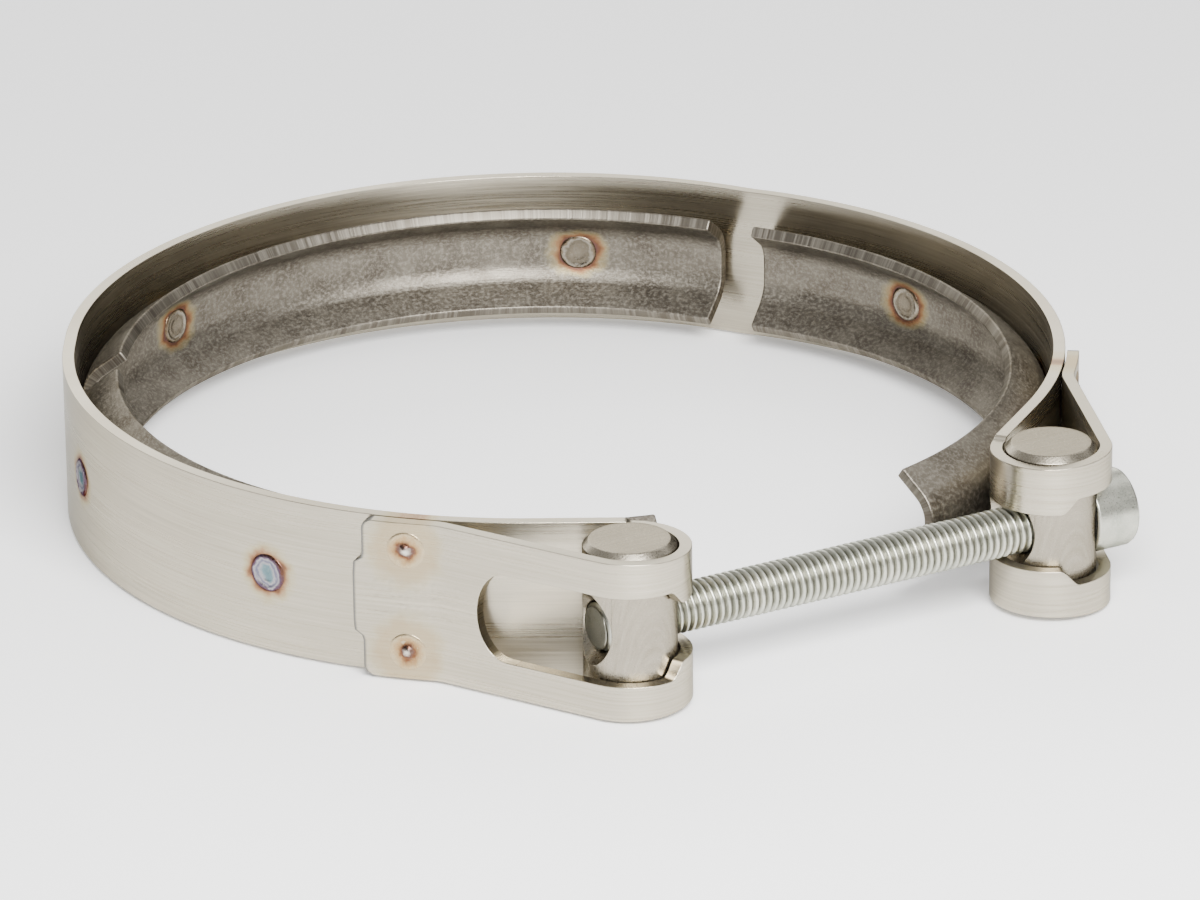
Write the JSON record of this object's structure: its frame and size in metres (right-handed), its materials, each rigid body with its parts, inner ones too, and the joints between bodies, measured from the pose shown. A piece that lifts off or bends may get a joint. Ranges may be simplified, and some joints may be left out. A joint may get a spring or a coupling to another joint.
{
  "type": "v-band pipe clamp",
  "caption": "Stainless V-band clamp: a strap folded into end loops holds V-profile segments, and a socket head screw through cross barrels draws the ring closed on a flange pair.",
  "frame": {"origin": "bottom centre of the bounding box; the clamp lies flat on the plane z = 0, on the lower ends of its two barrels", "axes": "+Z along the clamp's own axis, +X along the screw towards its head, -Y towards the mouth of the ring"},
  "size_m": [0.1656, 0.1748, 0.0277],
  "materials": {
    "strap_steel": "bright brushed stainless strip, fine grain along the strip",
    "segment_steel": "dull mill-finish stainless, rolled",
    "barrel_steel": "turned steel with bright chamfers",
    "zinc_screw": "pale zinc plate",
    "weld_metal": "heat-tinted spot weld"
  },
  "bodies": {
    "back": {"strap_back": "strap_steel", "v_segment_back": "segment_steel", "weld_segment_back_1": "weld_metal", "weld_segment_back_2": "weld_metal"},
    "left_arm": {"strap_left": "strap_steel", "v_segment_left": "segment_steel", "weld_segment_left_1": "weld_metal", "weld_segment_left_2": "weld_metal", "weld_tail_left_upper": "weld_metal", "weld_tail_left_lower": "weld_metal"},
    "right_arm": {"strap_right": "strap_steel", "v_segment_right": "segment_steel", "weld_segment_right_1": "weld_metal", "weld_segment_right_2": "weld_metal", "weld_tail_right_upper": "weld_metal", "weld_tail_right_lower": "weld_metal"},
    "left_barrel": {"threaded_barrel": "barrel_steel"},
    "right_barrel": {"plain_barrel": "barrel_steel"},
    "screw": {"socket_head_screw": "zinc_screw"}
  },
  "joints": [
    {"name": "left_flex", "type": "hinge", "parent": "back", "child": "left_arm", "pos_m": [-0.07113, 0.04674, 0.01385], "axis": [0, 0, 1], "range_deg": [-0.68, 3.73]},
    {"name": "right_flex", "type": "hinge", "parent": "back", "child": "right_arm", "pos_m": [0.06467, 0.05079, 0.01385], "axis": [0, 0, 1], "range_deg": [-5.59, 1.01]},
    {"name": "left_barrel_pivot", "type": "hinge", "parent": "left_arm", "child": "left_barrel", "pos_m": [-0.03348, -0.07757, 0.01385], "axis": [0, 0, 1], "range_deg": [-3.73, 0.68]},
    {"name": "right_barrel_pivot", "type": "hinge", "parent": "right_arm", "child": "right_barrel", "pos_m": [0.04484, -0.07757, 0.01385], "axis": [0, 0, 1], "range_deg": [-1.02, 5.6]},
    {"name": "screw_turn", "type": "hinge", "parent": "right_barrel", "child": "screw", "pos_m": [0.04484, -0.07757, 0.01385], "axis": [-1, 0, 0], "range_deg": [-1080, 5940]}
  ],
  "couplings": [
    {"joint": "left_flex", "follows": "right_flex", "ratio": -0.66667},
    {"joint": "left_barrel_pivot", "follows": "right_flex", "ratio": 0.66667},
    {"joint": "right_barrel_pivot", "follows": "right_flex", "ratio": -1},
    {"joint": "screw_turn", "follows": "right_flex", "ratio": -1060.8}
  ]
}
